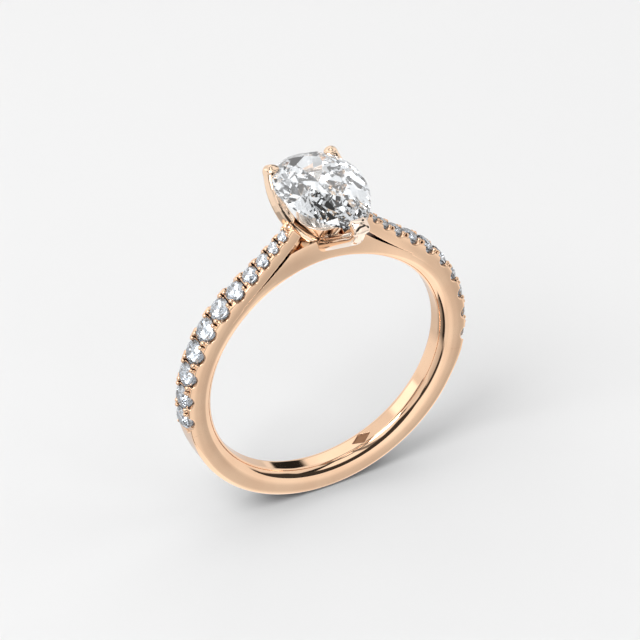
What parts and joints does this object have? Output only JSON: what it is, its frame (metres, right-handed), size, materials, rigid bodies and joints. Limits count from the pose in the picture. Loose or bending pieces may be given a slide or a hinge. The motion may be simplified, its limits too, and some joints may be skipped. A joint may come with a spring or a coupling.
{
  "type": "engagement ring",
  "caption": "Rose gold engagement ring with a pear-cut centre stone in three claws and stone-set cathedral shoulders.",
  "frame": {"origin": "centre of the finger hole, on its axis and half-way across the band", "axes": "+Y along the finger hole's axis, with the point of the pear towards -Y; +Z from the finger up to the centre stone; +X across the finger, to the right shoulder"},
  "size_m": [0.0212, 0.0093, 0.0253],
  "materials": {
    "rose_gold": "polished 18 ct rose gold",
    "centre_diamond": "clear faceted diamond",
    "side_diamond": "clear faceted diamond"
  },
  "bodies": {
    "root": {"band": "rose_gold", "left_rail": "rose_gold", "right_rail": "rose_gold", "left_claw": "rose_gold", "right_claw": "rose_gold", "point_claw": "rose_gold", "centre_stone": "centre_diamond", "left_stone_1": "side_diamond", "left_stone_2": "side_diamond", "left_stone_3": "side_diamond", "left_stone_4": "side_diamond", "left_stone_5": "side_diamond", "left_stone_6": "side_diamond", "left_stone_7": "side_diamond", "left_stone_8": "side_diamond", "left_stone_9": "side_diamond", "left_stone_10": "side_diamond", "left_stone_11": "side_diamond", "right_stone_1": "side_diamond", "right_stone_2": "side_diamond", "right_stone_3": "side_diamond", "right_stone_4": "side_diamond", "right_stone_5": "side_diamond", "right_stone_6": "side_diamond", "right_stone_7": "side_diamond", "right_stone_8": "side_diamond", "right_stone_9": "side_diamond", "right_stone_10": "side_diamond", "right_stone_11": "side_diamond"}
  },
  "joints": []
}
